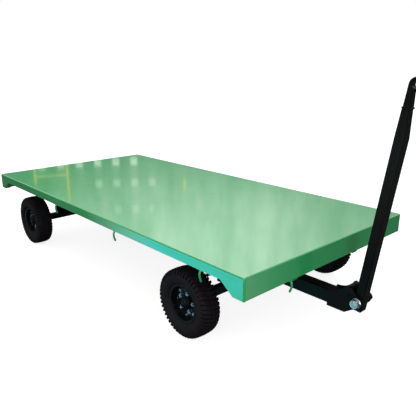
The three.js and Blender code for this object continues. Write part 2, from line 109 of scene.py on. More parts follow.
class Nodes:
    """A short way to write a node tree: each call adds a node and links or sets its inputs."""

    def __init__(self, tree):
        self.tree = tree
        self.tree.nodes.clear()

    def add(self, kind, inputs=(), **settings):
        made = self.tree.nodes.new(kind)
        for key, value in settings.items():
            setattr(made, key, value)
        for key, value in dict(inputs).items():
            if isinstance(value, bpy.types.NodeSocket):
                self.tree.links.new(value, made.inputs[key])
            else:
                made.inputs[key].default_value = value
        return made

    def noise(self, where, scale, detail=3.0, roughness=0.5):
        inputs = {"Vector": where, "Scale": scale, "Detail": detail, "Roughness": roughness}
        return self.add("ShaderNodeTexNoise", inputs).outputs["Fac"]

    def spread(self, value, low, high, out_low=0.0, out_high=1.0):
        inputs = {"Value": value, "From Min": low, "From Max": high, "To Min": out_low, "To Max": out_high}
        return self.add("ShaderNodeMapRange", inputs, interpolation_type="SMOOTHSTEP").outputs["Result"]

    def spread_evenly(self, value, low, high, out_low=0.0, out_high=1.0):
        inputs = {"Value": value, "From Min": low, "From Max": high, "To Min": out_low, "To Max": out_high}
        return self.add("ShaderNodeMapRange", inputs).outputs["Result"]

    def math(self, operation, first, second=0.0):
        return self.add("ShaderNodeMath", {0: first, 1: second}, operation=operation).outputs[0]

    def mix(self, share, first, second):
        inputs = {0: share, 6: first, 7: second}
        return self.add("ShaderNodeMix", inputs, data_type="RGBA").outputs[2]


def rgba(color):
    return (*color, 1.0)


def surface(name, recipe, **fixed):
    """A material from recipe(nodes, where), which returns its varying inputs; fixed are single values."""
    material = bpy.data.materials.new(name)
    material.use_nodes = True
    nodes = Nodes(material.node_tree)
    where = nodes.add("ShaderNodeTexCoord").outputs["Object"]
    shader = nodes.add("ShaderNodeBsdfPrincipled", {**recipe(nodes, where), **fixed})
    nodes.add("ShaderNodeOutputMaterial", {"Surface": shader.outputs["BSDF"]})
    return material


def bump(nodes, height, strength, distance, below=None):
    inputs = {"Height": height, "Strength": strength, "Distance": distance}
    if below is not None:
        inputs["Normal"] = below
    return nodes.add("ShaderNodeBump", inputs).outputs["Normal"]


def upward(nodes):
    """1 on faces that look up, 0 on those that look down or sideways."""
    normal = nodes.add("ShaderNodeNewGeometry").outputs["Normal"]
    z = nodes.add("ShaderNodeSeparateXYZ", {0: normal}).outputs["Z"]
    return nodes.spread(z, 0.2, 0.95)


def enamel_recipe(nodes, where):
    broad = nodes.noise(where, 1.1, 2.0)
    fine = nodes.noise(where, 9.0, 5.0)
    share = nodes.spread(broad, 0.35, 0.65)
    tone = nodes.mix(share, rgba((0.033, 0.382, 0.118)), rgba((0.042, 0.418, 0.136)))
    scuffs = nodes.spread(nodes.noise(where, 38.0, 8.0, 0.7), 0.66, 0.78, 0.0, 0.35)
    color = nodes.mix(scuffs, tone, rgba((0.060, 0.410, 0.160)))
    waves = bump(nodes, nodes.noise(where, 2.6, 1.0), 0.22, 0.004)
    peel = bump(nodes, nodes.noise(where, 420.0, 2.0), 0.06, 0.0004, waves)
    return {"Base Color": color, "Roughness": nodes.spread(fine, 0.3, 0.75, 0.07, 0.15), "Normal": peel}


def black_recipe(nodes, where):
    patches = nodes.noise(where, 6.0, 4.0)
    share = nodes.spread(patches, 0.3, 0.7)
    tone = nodes.mix(share, rgba((0.0030, 0.0032, 0.0036)), rgba((0.0055, 0.0062, 0.0064)))
    specks = nodes.spread(nodes.noise(where, 22.0, 6.0), 0.45, 0.8, 0.0, 0.25)
    dust = nodes.math("MULTIPLY", upward(nodes), specks)
    color = nodes.mix(dust, tone, rgba((0.024, 0.024, 0.022)))
    peel = bump(nodes, nodes.noise(where, 260.0, 3.0), 0.10, 0.0005)
    return {"Base Color": color, "Roughness": nodes.spread(patches, 0.3, 0.7, 0.30, 0.46), "Normal": peel}


def rubber_recipe(nodes, where):
    mottle = nodes.noise(where, 14.0, 6.0, 0.6)
    share = nodes.spread(mottle, 0.35, 0.7)
    tone = nodes.mix(share, rgba((0.0080, 0.0058, 0.0076)), rgba((0.0150, 0.0105, 0.0140)))
    dust = nodes.spread(nodes.noise(where, 70.0, 8.0, 0.7), 0.52, 0.8, 0.0, 0.5)
    color = nodes.mix(dust, tone, rgba((0.026, 0.021, 0.025)))
    grain = bump(nodes, nodes.noise(where, 900.0, 2.0), 0.22, 0.0004)
    return {"Base Color": color, "Roughness": nodes.spread(mottle, 0.3, 0.7, 0.56, 0.78), "Normal": grain}


def zinc_recipe(nodes, where):
    cloud = nodes.noise(where, 60.0, 5.0)
    color = nodes.mix(nodes.spread(cloud, 0.35, 0.7), rgba((0.62, 0.66, 0.74)), rgba((0.86, 0.89, 0.94)))
    grain = bump(nodes, nodes.noise(where, 800.0, 3.0), 0.12, 0.0003)
    return {"Base Color": color, "Roughness": nodes.spread(cloud, 0.3, 0.7, 0.11, 0.24), "Normal": grain}


# A zinc darker than the plain one. Its purple base colour is a painted light tint: it turns the room's teal
# reflections into lavender glints, as bluish light gives.
def dark_zinc_painted_lavender_recipe(nodes, where):
    cloud = nodes.noise(where, 90.0, 5.0)
    color = nodes.mix(nodes.spread(cloud, 0.35, 0.7), rgba((0.30, 0.21, 0.27)), rgba((0.66, 0.52, 0.62)))
    grain = bump(nodes, nodes.noise(where, 800.0, 3.0), 0.15, 0.0003)
    return {"Base Color": color, "Roughness": nodes.spread(cloud, 0.3, 0.7, 0.18, 0.36), "Normal": grain}


def steel_recipe(nodes, where):
    cloud = nodes.noise(where, 40.0, 6.0)
    color = nodes.mix(nodes.spread(cloud, 0.35, 0.7), rgba((0.26, 0.25, 0.24)), rgba((0.46, 0.46, 0.45)))
    grain = bump(nodes, nodes.noise(where, 700.0, 3.0), 0.15, 0.0003)
    return {"Base Color": color, "Roughness": nodes.spread(cloud, 0.3, 0.7, 0.28, 0.5), "Normal": grain}


def floor_recipe(nodes, where):
    cloud = nodes.noise(where, 0.6, 3.0)
    return {"Base Color": nodes.mix(cloud, rgba((0.50, 0.50, 0.50)), rgba((0.54, 0.54, 0.54)))}


FINISH = {
    "green_enamel": surface("green_enamel", enamel_recipe, **{"Coat Weight": 0.6, "Coat Roughness": 0.03}),
    "black_paint": surface("black_paint", black_recipe, **{"Specular IOR Level": 0.11}),
    "rim_paint": surface("rim_paint", black_recipe, **{"Specular IOR Level": 0.13}),
    # Wheel nuts and clamp bolts: darker zinc with a purple base colour, a painted lavender tint of the light in
    # their glints
    "dark_zinc_painted_lavender": surface("dark_zinc_painted_lavender", dark_zinc_painted_lavender_recipe, Metallic=1.0),
    "tyre_rubber": surface("tyre_rubber", rubber_recipe, **{"Specular IOR Level": 0.15}),
    "zinc_plate": surface("zinc_plate", zinc_recipe, Metallic=1.0),
    "plain_steel": surface("plain_steel", steel_recipe, Metallic=1.0),
}


# ---- Shells: (vertices, faces) in millimetres ----------------------------------------------------


def merged(*shells):
    vertices, faces = [], []
    for points, polygons in shells:
        start = len(vertices)
        vertices += points
        faces += [[start + i for i in polygon] for polygon in polygons]
    return vertices, faces


def moved(shell, matrix):
    return [matrix @ Vector(v) for v in shell[0]], shell[1]


def shifted(shell, x=0.0, y=0.0, z=0.0):
    return moved(shell, Matrix.Translation((x, y, z)))


def loft(rings, closed=False):
    """Joins rings of points with quads. An open loft is capped at both ends."""
    count = len(rings[0])
    vertices = [Vector(p) for ring in rings for p in ring]
    faces = []
    for i in range(len(rings) if closed else len(rings) - 1):
        here, there = i * count, ((i + 1) % len(rings)) * count
        for j in range(count):
            k = (j + 1) % count
            faces.append([here + j, here + k, there + k, there + j])
    if not closed:
        faces.append(list(range(count))[::-1])
        faces.append(list(range((len(rings) - 1) * count, len(rings) * count)))
    return vertices, faces


def turned(profile, sides=96, closed=False):
    """A body turned about Z from (radius, z) points."""
    angles = [math.tau * j / sides for j in range(sides)]
    return loft([[(r * math.cos(a), r * math.sin(a), z) for a in angles] for r, z in profile], closed)


def prism(outline, low, high, axis="Y"):
    """An outline of (x, z) points carried along Y, or of (y, z) points along X."""
    if axis == "Y":
        return loft([[(a, t, b) for a, b in outline] for t in (low, high)])
    return loft([[(t, a, b) for a, b in outline] for t in (low, high)])


def rounded(x0, x1, y0, y1, corner, steps=5):
    """A rectangle with round corners, as (x, y) points."""
    corners = ((x1 - corner, y1 - corner, 0), (x0 + corner, y1 - corner, 90))
    corners += ((x0 + corner, y0 + corner, 180), (x1 - corner, y0 + corner, 270))
    points = []
    for x, y, start in corners:
        for i in range(steps + 1):
            angle = math.radians(start + 90 * i / steps)
            points.append((x + corner * math.cos(angle), y + corner * math.sin(angle)))
    return points


def swept(path, radius, across, sides=10, ripple=0.0, closed=False):
    """A round rod along a path, with rounded ends. across is a direction square to the path's plane."""
    points = [Vector(p) for p in path]
    across = Vector(across).normalized()
    rings = []
    for i, point in enumerate(points):
        before = points[i - 1] if closed or i else points[0]
        after = points[(i + 1) % len(points)] if closed or i + 1 < len(points) else points[-1]
        outward = (after - before).normalized().cross(across).normalized()
        r = radius * (1 + ripple * (1 if i % 2 else -1))
        ring = []
        for j in range(sides):
            angle = math.tau * j / sides
            ring.append(point + outward * r * math.cos(angle) + across * r * math.sin(angle))
        rings.append(ring)
    if closed:
        return loft(rings, closed=True)

    def nose(index, direction):
        centre = points[index]
        return [
            [centre + (p - centre) * shrink + direction * radius * reach for p in rings[index]]
            for shrink, reach in ((0.85, 0.5), (0.45, 0.85))
        ]

    start = nose(0, (points[0] - points[1]).normalized())
    end = nose(-1, (points[-1] - points[-2]).normalized())
    return loft(start[::-1] + rings + end)


def smooth_path(points, steps=6):
    """A Catmull-Rom curve through the points."""
    knots = [Vector(p) for p in points]
    knots = [knots[0] * 2 - knots[1], *knots, knots[-1] * 2 - knots[-2]]
    path = []
    for a, b, c, d in zip(knots, knots[1:], knots[2:], knots[3:]):
        for i in range(steps):
            t = i / steps
            square, cube = 2 * a - 5 * b + 4 * c - d, 3 * b - a - 3 * c + d
            path.append(0.5 * (2 * b + (c - a) * t + square * t**2 + cube * t**3))
    return [*path, knots[-2]]


def weld(start, end, radius, across, pitch=5.0):
    """A straight rippled weld bead."""
    start, end = Vector(start), Vector(end)
    count = max(3, int((end - start).length / pitch) * 2)
    return swept([start.lerp(end, i / count) for i in range(count + 1)], radius, across, 8, 0.10)


def hexagon(across_flats, low, high, bore=0.0, sides=48, chamfer=0.93):
    """A hexagonal nut or bolt head with chamfered corners, standing along Z."""
    flat = across_flats / 2
    corner = flat / math.cos(math.pi / 6)
    height = high - low

    def ring(z, limit):
        points = []
        for j in range(sides):
            angle = math.tau * j / sides
            toward_flat = (angle % (math.pi / 3)) - math.pi / 6
            r = min(flat / math.cos(toward_flat), limit)
            points.append((r * math.cos(angle), r * math.sin(angle), z))
        return points

    rings = [
        ring(low, corner * chamfer),
        ring(low + height * 0.08, corner),
        ring(high - height * 0.14, corner),
        ring(high, corner * (chamfer - 0.02)),
    ]
    if not bore:
        return loft(rings)
    inside = [ring(high, bore), ring(low, bore)]
    return loft(rings + inside, closed=True)


def threaded(radius, low, high, pitch, sides=32):
    """A threaded rod end along Z with a chamfered tip."""
    rows = int((high - low) / pitch * 4)
    rings = []
    for i in range(rows + 1):
        z = low + (high - low) * i / rows
        ring = []
        for j in range(sides):
            angle = math.tau * j / sides
            phase = (z / pitch - j / sides) % 1.0
            r = radius - abs(phase - 0.5) * 0.09 * radius
            r = min(r, radius * 0.86 + (high - z) * 0.8)
            ring.append((r * math.cos(angle), r * math.sin(angle), z))
        rings.append(ring)
    return loft(rings)


def around(count, radius, phase, shell):
    copies = []
    for i in range(count):
        angle = math.radians(phase) + math.tau * i / count
        copies.append(shifted(shell, radius * math.cos(angle), radius * math.sin(angle)))
    return merged(*copies)


# ---- Pieces --------------------------------------------------------------------------------------


def mesh_of(name, shell, sharp=35.0):
    mesh = bpy.data.meshes.new(name)
    mesh.from_pydata([Vector(v) * MM for v in shell[0]], [], shell[1])
    shape = bmesh.new()
    shape.from_mesh(mesh)
    bmesh.ops.recalc_face_normals(shape, faces=shape.faces)
    shape.to_mesh(mesh)
    shape.free()
    mesh.shade_smooth()
    mesh.set_sharp_from_angle(angle=math.radians(sharp))
    return mesh


def piece(name, mesh, finish, body, replaces=(), place=None, bevel=0.0):
    """A finished piece, riding on its body. mesh is a mesh or a shell, place is where its frame stands."""
    if not isinstance(mesh, bpy.types.Mesh):
        mesh = mesh_of(name, mesh)
    if not mesh.materials:
        mesh.materials.append(FINISH[finish])
    made = bpy.data.objects.new(name, mesh)
    if place is not None:
        made.matrix_world = place
    bpy.context.scene.collection.objects.link(made)
    if bevel:
        add_bevel(made, bevel)
    flatten_normals(made)
    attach(made, body)
    if replaces:
        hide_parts(*replaces)
    return made


def add_bevel(made, width, segments=2):
    bevel = made.modifiers.new("edges", "BEVEL")
    bevel.width = width * MM
    bevel.segments = segments
    bevel.limit_method = "ANGLE"
    bevel.angle_limit = math.radians(40)
    bevel.harden_normals = True


def flatten_normals(made):
    """Keeps wide faces flat in reflections, with the shading turn taken up by the narrow ones."""
    flat = made.modifiers.new("normals", "WEIGHTED_NORMAL")
    flat.keep_sharp = True
    flat.weight = 90


def dress_cad_nodes():
    """Gives every CAD node its finish; plate and beam edges are eased a little."""
    slots = {row["node"]: row["material_slot"] for row in frame["record"]["subparts"]}
    for name, node in frame["nodes"].items():
        node.data.materials.clear()
        node.data.materials.append(FINISH[slots[name]])
        weld_points = node.modifiers.new("weld", "WELD")
        weld_points.merge_threshold = 0.00002
        add_bevel(node, 1.2)
        flatten_normals(node)


# ---- Deck ----------------------------------------------------------------------------------------

PAN = {"corner": 9.0, "turn_down": 24.0, "sheet": 4.5}
RAIL = {"wall": 6.0, "flange": 45.0, "end": 76.0, "slope": 86.0}
END_FLANGE = 50.0


def deck_pan():
    """The deck sheet, turned down at its edges in a smooth bend."""
    x0, x1 = DECK_LOW.x / MM, DECK_HIGH.x / MM
    y0, y1 = DECK_LOW.y / MM, DECK_HIGH.y / MM
    top = DECK_HIGH.z / MM
    radius, steps = PAN["corner"], 5

    def ring(inset, z, shrink=0.0):
        corner = max(radius - shrink, 0.5)
        outline = rounded(x0 + inset, x1 - inset, y0 + inset, y1 - inset, corner)
        return [(x, y, z) for x, y in outline]

    bottom = top - PAN["turn_down"]
    rings = [ring(0, bottom)]
    for i in range(steps + 1):
        angle = math.radians(90 * i / steps)
        inset = radius * (1 - math.cos(angle))
        rings.append(ring(inset, top - radius * (1 - math.sin(angle)), inset))
    sheet = PAN["sheet"]
    inside = [ring(sheet, bottom, sheet), ring(sheet, top - sheet, sheet)]
    return loft(inside[::-1] + rings)


def end_beam(toward):
    """A channel between the rails whose web turns round both corners. toward is +1 at the front."""
    edge = (DECK_HIGH.x if toward > 0 else DECK_LOW.x) / MM
    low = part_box("front_beam")[0].z / MM
    top = DECK_HIGH.z / MM - PAN["turn_down"]
    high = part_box("front_beam")[1].z / MM
    half, wall, corner = DECK_HIGH.y / MM, RAIL["wall"], PAN["corner"]
    turns = [math.radians(90 * i / 4) for i in range(5)]
    bend = [(edge - toward * wall * (1 - math.cos(a)), low + wall * (1 - math.sin(a))) for a in turns]
    lip = edge - toward * END_FLANGE
    profile = [(edge, top), *bend, (lip, low), (lip, low + wall)]
    profile += [(edge - toward * wall, low + wall), (edge - toward * wall, top)]
    channel = prism(profile, -half + corner, half - corner)
    upper = [(edge - toward * wall, top), (edge - toward * wall, high), (lip, high), (lip, high - wall)]
    upper += [(edge - toward * 2 * wall, high - wall), (edge - toward * 2 * wall, top)]
    flange = prism(upper, -half + corner, half - corner)
    corners = []
    for side in (1, -1):
        centre = (edge - toward * corner, side * (half - corner))
        plan = []
        for radius, order in ((corner, range(7)), (corner - wall, range(6, -1, -1))):
            for i in order:
                angle = math.radians(90 * i / 6)
                x = centre[0] + toward * radius * math.cos(angle)
                plan.append((x, centre[1] + side * radius * math.sin(angle)))
        corners.append(loft([[(x, y, z) for x, y in plan] for z in (low, top)]))
    return merged(channel, flange, *corners)


def side_rail(side):
    """A web that drops to the end beams' depth near its ends, with a flange along its lower edge."""
    corner, wall = PAN["corner"], RAIL["wall"]
    x0, x1 = DECK_LOW.x / MM + corner, DECK_HIGH.x / MM - corner
    full0, full1 = DECK_LOW.x / MM + RAIL["end"], DECK_HIGH.x / MM - RAIL["end"]
    slope0, slope1 = full0 + RAIL["slope"], full1 - RAIL["slope"]
    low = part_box("front_beam")[0].z / MM
    high = DECK_HIGH.z / MM - PAN["turn_down"]
    shallow = (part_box("rope_hook_left_1")[1].z + HOOK_GAP) / MM
    lower = [(x0, low), (full0, low), (slope0, shallow), (slope1, shallow), (full1, low), (x1, low)]
    web = [*lower, (x1, high), (x0, high)]
    outer, inner = side * DECK_HIGH.y / MM, side * (DECK_HIGH.y / MM - wall)
    strip_ends = [(x0 + END_FLANGE, low), *lower[1:-1], (x1 - END_FLANGE, low)]
    strip = strip_ends + [(x, z + wall) for x, z in reversed(strip_ends)]
    far = side * (DECK_HIGH.y / MM - RAIL["flange"])
    return merged(prism(web, inner, outer), prism(strip, far, inner))


def build_deck():
    piece("deck_skin", deck_pan(), "green_enamel", "chassis", ["deck_plate"])
    for name, toward in (("front_beam", 1), ("rear_beam", -1)):
        piece(f"{name}_channel", end_beam(toward), "green_enamel", "chassis", [name])
    for name, side in SIDE.items():
        rail = side_rail(side)
        piece(f"side_rail_web_{name}", rail, "green_enamel", "chassis", [f"side_rail_{name}"], bevel=1.0)


# ---- Rope hooks ----------------------------------------------------------------------------------

HOOK_LINE = ((-5, 0, 1), (-3, 0, -5), (1.4, 0, -13), (2.7, 0, -24), (0, 0, -42), (-7.4, 0, -62))
HOOK_ROD = 6.0
HOOK_GAP = 0.0018  # between a hook's top and the edge it hangs from


def build_hooks():
    rod = swept(smooth_path(HOOK_LINE), HOOK_ROD, (0, 1, 0), 14)
    bead = swept([(-3, y, -0.5) for y in range(-10, 11, 4)], 3.6, (0, 0, 1), 8, 0.12)
    mesh = mesh_of("rope_hook", merged(rod, bead))
    places = [(f"{side}_{i}", sign * 90) for side, sign in SIDE.items() for i in (1, 2, 3)]
    places += [("front_left", 0), ("front_right", 0)]
    for place, heading in places:
        low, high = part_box(f"rope_hook_{place}")
        edge = Vector(((low.x + high.x) / 2, (low.y + high.y) / 2, high.z + HOOK_GAP))
        if heading:
            edge.y = math.copysign(DECK_HIGH.y, heading)
        else:
            edge.x = DECK_HIGH.x
        stand = Matrix.Translation(edge) @ Matrix.Rotation(math.radians(heading), 4, "Z")
        piece(f"hook_{place}", mesh, "green_enamel", "chassis", [f"rope_hook_{place}"], stand)


# ---- Wheels, drawn with their axis along Z and their outer side up -------------------------------

TREAD = {"lugs": 48, "depth": 10.0, "slant": 0.30, "stagger": 0.25, "rib": 18.5, "shoulder": 53.5}
ZIGZAG = 1.6  # of the grooves that run round the tyre
# Half of the tyre's section, from the tread's middle to the bead and back inside:
# (z, radius, share of the cross grooves' depth, 1 in a groove that runs round the tyre)
TYRE_HALF = (
    (0.0, 203.4, 0.7, 0), (9.0, 203.3, 0.7, 0), (12.5, 203.1, 0.7, 0), (13.5, 203.1, 0.7, 0.7),
    (17.5, 202.9, 0.7, 0.7), (18.5, 202.8, 0.7, 0), (32.0, 202.0, 0.9, 0), (44.0, 200.8, 1.1, 0),
    (53.5, 198.0, 1.25, 0), (59.4, 191.5, 1.35, 0), (61.8, 182.0, 1.3, 0), (62.4, 176.0, 1, 0),
    (62.8, 172.5, 0, 0), (64.6, 163.5, 0, 0), (65.6, 157.0, 0, 0), (66.0, 153.0, 0, 0),
    (65.4, 148.5, 0, 0), (64.4, 141.5, 0, 0), (62.0, 134.0, 0, 0), (60.4, 130.8, 0, 0),
    (61.2, 128.8, 0, 0), (60.0, 126.6, 0, 0), (56.4, 121.8, 0, 0), (52.2, 118.0, 0, 0),
    (47.0, 115.6, 0, 0), (45.0, 113.0, 0, 0), (45.0, 102.0, 0, 0), (29.0, 102.0, 0, 0),
    (31.0, 112.0, 0, 0), (48.0, 132.0, 0, 0), (53.5, 150.0, 0, 0), (46.0, 172.0, 0, 0),
    (28.0, 185.0, 0, 0),
)
# Across one lug: its place at the tread's middle and at its shoulder, and 1 in the groove beside it
LUG_COLUMNS = (
    (0.0, 0.0, 1), (0.18, 0.40, 1), (0.23, 0.47, 0), (0.47, 0.62, 0), (0.71, 0.78, 0), (0.95, 0.93, 0),
)


def tyre():
    """A tyre with staggered, slanted tread blocks that run over its shoulders."""
    section = [(-z, r, share, ring) for z, r, share, ring in reversed(TYRE_HALF[1:])] + list(TYRE_HALF)
    count = len(section)
    rings = []
    for i, (z, r, share, ring_groove) in enumerate(section):
        (z0, r0), (z1, r1) = section[i - 1][:2], section[(i + 1) % count][:2]
        outward = Vector((z1 - z0, r0 - r1)).normalized()  # (radial, axial)
        across = max(-1.0, min(1.0, z / TREAD["rib"]))
        reach = TREAD["shoulder"] - TREAD["rib"]
        slant = max(0.0, min(abs(z), TREAD["shoulder"]) - TREAD["rib"]) / reach
        shift = TREAD["stagger"] * across + TREAD["slant"] * slant
        ring = []
        for lug in range(TREAD["lugs"]):
            for j, (inner, outer, groove) in enumerate(LUG_COLUMNS):
                place = inner + (outer - inner) * slant
                depth = TREAD["depth"] * max(share * groove, ring_groove)
                zigzag = 0.0
                if ring_groove:
                    zigzag = math.copysign(ZIGZAG, z) * (1 if j in (2, 3) else -1)
                angle = math.tau * (lug + place + shift) / TREAD["lugs"]
                radius = r - outward.x * depth
                level = z - outward.y * depth + zigzag
                ring.append((radius * math.cos(angle), radius * math.sin(angle), level))
        rings.append(ring)
    return loft(rings, closed=True)


def rim():
    upper = [
        (99, 0), (99, 12), (101.6, 16), (101.6, 43.5), (103.5, 45.2), (111, 45.4), (114, 45.8), (115, 47.4),
        (114.2, 49), (111, 49.6), (104, 49.4), (99.5, 47.5), (97.6, 44), (97.6, 15), (96, 10.5), (92, 8),
        (71, 8), (69.5, 7), (40.3, 7),
    ]
    return turned([(r, -z) for r, z in reversed(upper)][:-1] + upper, 120, closed=True)


def hub():
    profile = [
        (32, -42), (38.5, -42), (40, -40.5), (40, -22), (44, -20.3), (70, -20.3), (72, -18.3), (72, -8.3),
        (40, -8.3), (40, 24), (38.5, 26), (32, 26),
    ]
    return turned(profile, 72, closed=True)


def dust_cap():
    inside = [(2, 45), (10, 44.6), (19, 42.6), (25, 39.3), (28, 35), (29, 30), (29, 20)]
    outside = [
        (31.7, 20), (31.7, 26.3), (37.4, 26.3), (38, 27.2), (37.6, 28.8), (33, 29.6), (31.4, 31),
        (30.6, 36), (27.4, 41), (20, 44.8), (10, 46.6), (2, 47),
    ]
    return turned(inside + outside, 60)


STUDS = {"count": 5, "circle": 55, "phase": 153}
CLAMPS = {"count": 8, "circle": 78, "phase": 1}
VALVE = {"circle": 88, "place": math.radians(205)}


def wheel_nuts():
    nut = hexagon(22, 8.3, 20.3)
    washer = turned([(7, 7.1), (13.6, 7.1), (13.6, 8.6), (7, 8.6)], 40, closed=True)
    return around(*STUDS.values(), merged(nut, washer, threaded(7, 20, 26, 1.5, 24)))


def clamp_bolts():
    head = merged(hexagon(17, 9.2, 16), turned([(3, 7.8), (10.5, 7.8), (10.5, 9.4), (3, 9.4)], 36))
    return around(*CLAMPS.values(), merged(head, threaded(5, 15.6, 21, 1.25, 20)))


def inner_clamp_nuts():
    return around(*CLAMPS.values(), hexagon(17, -16, -7.8))


def valve():
    stem = [(5.2, 7), (5.2, 10), (3.6, 13), (3.6, 33), (4.4, 33.5), (4.4, 43), (3.2, 44.5)]
    x, y = (VALVE["circle"] * f(VALVE["place"]) for f in (math.cos, math.sin))
    return shifted(turned(stem, 24), x, y)


def build_wheels():
    parts = (
        ("tread_tyre", tyre(), "tyre_rubber", "tyre"),
        ("wheel_rim", rim(), "rim_paint", "rim"),
        ("wheel_hub", hub(), "rim_paint", "hub"),
        ("grease_cap", dust_cap(), "rim_paint", "dust_cap"),
        # The nuts and clamp bolts take the darker zinc whose purple base colour paints a lavender tint of light
        # into their glints
        ("wheel_nuts", wheel_nuts(), "dark_zinc_painted_lavender", None),
        ("clamp_bolts", merged(clamp_bolts(), inner_clamp_nuts()), "dark_zinc_painted_lavender", None),
        ("tyre_valve", valve(), "tyre_rubber", None),
    )
    meshes = {name: mesh_of(name, shell) for name, shell, _, _ in parts}
    for where in WHEELS:
        side = SIDE[where.split("_")[1]]
        stand = Matrix.Translation(middle(f"tyre_{where}")) @ Matrix.Rotation(-side * math.pi / 2, 4, "X")
        for name, _, finish, node in parts:
            replaces = [f"{node}_{where}"] if node else []
            piece(f"{name}_{where}", meshes[name], finish, f"wheel_{where}", replaces, stand)


# ---- Running gear --------------------------------------------------------------------------------

AXLE = {"side": 50.0, "half_beam": 592.0, "wheel": 658.8}


def axle():
    """A square beam with round spindles, their shoulders and their nuts."""
    half = AXLE["side"] / 2
    outline = rounded(-half, half, -half, half, 5)
    beam = loft([[(x, y, z) for x, z in outline] for y in (-AXLE["half_beam"], AXLE["half_beam"])])
    start, wheel = AXLE["half_beam"] - 2, AXLE["wheel"]
    spindle = [(24, start), (25, start + 3), (25, wheel - 37)]
    spindle += [(17.5, wheel - 36), (17.5, wheel + 33), (16, wheel + 34)]
    end = merged(turned(spindle, 48), hexagon(41, wheel + 18.5, wheel + 30))
    ends = [moved(end, Matrix.Rotation(math.radians(a), 4, "X")) for a in (90, -90)]
    return merged(beam, *ends)


def ring_of(inner, outer, low, high, ease=1.5):
    profile = [(inner, low), (outer - ease, low), (outer, low + ease)]
    profile += [(outer, high - ease), (outer - ease, high), (inner, high)]
    return turned(profile, 120, closed=True)


def ball_race(height):
    """The ball cage with its balls, seen between the two rings."""
    cage = turned([(172, 2.4), (188, 2.4), (188, height - 2.4), (172, height - 2.4)], 120, closed=True)
    r = height / 2
    slopes = [math.radians(d) for d in range(-75, 76, 30)]
    profile = [(r * math.cos(a), r + r * math.sin(a)) for a in slopes]
    return merged(cage, around(72, 184, 0, turned(profile, 14)))


def frame_at(node, z=0.0):
    centre = middle(node)
    return Matrix.Translation((centre.x, centre.y, z))


def build_running_gear():
    mesh = mesh_of("axle_beam", axle())
    for name, body in (("rear_axle", "chassis"), ("front_axle", "steering")):
        piece(f"{name}_beam", mesh, "black_paint", body, [name], Matrix.Translation(middle(name)))
    for node, body in (("turntable_upper_ring", "chassis"), ("turntable_lower_ring", "steering")):
        low, high = (c.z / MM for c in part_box(node))
        piece(f"{node}_smooth", ring_of(160, 199, low, high), "black_paint", body, [node], frame_at(node))
    low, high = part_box("ball_race")
    race = ball_race((high.z - low.z) / MM)
    piece("ball_cage", race, "plain_steel", "steering", ["ball_race"], frame_at("ball_race", low.z))
    low, high = (c.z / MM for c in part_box("king_pin"))
    pin = merged(
        turned([(13.5, low), (15, low + 2), (15, high - 16)], 48),
        turned([(30, high - 15.7), (30, high - 3), (27, high)], 48),
    )
    piece("king_pin_smooth", pin, "plain_steel", "chassis", ["king_pin"], frame_at("king_pin"))
    low, high = (c.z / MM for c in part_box("king_pin_nut"))
    nut = hexagon(43, low, high, 15.2)
    piece("king_pin_hex", nut, "zinc_plate", "chassis", ["king_pin_nut"], frame_at("king_pin_nut"))


# ---- Drawbar and its fork ------------------------------------------------------------------------


TUBE_WALL = 5
TUBE_CORNER = 8
ROOT_WELD_TOP = 226  # height above the floor where the drawbar meets the bolster


def build_drawbar():
    low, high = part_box("drawbar_tube")
    middle_z = (low.z + high.z) / 2 / MM
    half_y, half_z = high.y / MM, (high.z - low.z) / 2 / MM

    def ring(x, inset, corner):
        outline = rounded(-half_y + inset, half_y - inset, -half_z + inset, half_z - inset, corner)
        return [(x, y, middle_z + z) for y, z in outline]

    x0, x1 = low.x / MM, high.x / MM
    outside, inside = (0, TUBE_CORNER), (TUBE_WALL, TUBE_CORNER / 2)
    tube = loft([ring(x0, *outside), ring(x1, *outside), ring(x1, *inside), ring(x0, *inside)], closed=True)
    piece("drawbar_box", tube, "black_paint", "steering", ["drawbar_tube"])
    build_pivot()


# Along the pivot bolt from its middle: the fork's cheek, the washer's face, and the ends of nut and bolt
PIVOT = {"cheek": 50.5, "washer": 54.4, "nut_end": 79.0, "bolt_end": 82.0, "flats": 46.0, "radius": 15.0}


def build_pivot():
    """The pivot bolt with its head, washer and nut, in a frame whose Z runs along the bolt to the left."""
    centre = Vector(JOINT["handle_hinge"]["pos_m"])
    stand = Matrix.Translation(centre) @ Matrix.Rotation(-math.pi / 2, 4, "X")
    flip = Matrix.Rotation(math.pi, 4, "X")
    cheek, face, flats, radius = (PIVOT[k] for k in ("cheek", "washer", "flats", "radius"))
    flange = turned([(28, cheek), (28, 53.5), (27, 54.6)], 64)
    head = merged(flange, hexagon(flats, face, PIVOT["nut_end"]))
    shank = merged(
        moved(threaded(radius - 0.2, 74, PIVOT["bolt_end"], 3.5), flip),
        turned([(radius, -74), (radius, 51)], 48),
    )
    piece("pivot_bolt_head", head, "black_paint", "steering", [], stand)
    piece("pivot_bolt_shank", shank, "zinc_plate", "steering", ["pivot_bolt"], stand)
    washer = [(15.6, 50.4), (27, 50.4), (28, 51.4), (28, 53.4), (27, face), (15.6, face)]
    ring = moved(turned(washer, 72, closed=True), flip)
    piece("pivot_washer_smooth", ring, "zinc_plate", "steering", ["pivot_washer"], stand)
    nut = moved(hexagon(flats, 54.6, 78.8, 14.9), flip)
    piece("pivot_nut_smooth", nut, "zinc_plate", "steering", ["pivot_nut"], stand)


# ---- Handle, drawn in a frame on the pivot with Z along the tube ---------------------------------

HANDLE = {
    "tilt": 7.4,
    "half_length": 25.0,
    "half_width": 32.5,
    "bottom": -57.0,
    "taper": 905.0,
    "top": 1049.0,
    "top_front": 10.5,
    "top_half_width": 27.0,
    "wall": 4.5,
    "corner": 6.0,
}
EYE = {"x": 11.5, "z": 1159.0, "radius": 33.9, "bore": 18.0, "half_width": 22.5}
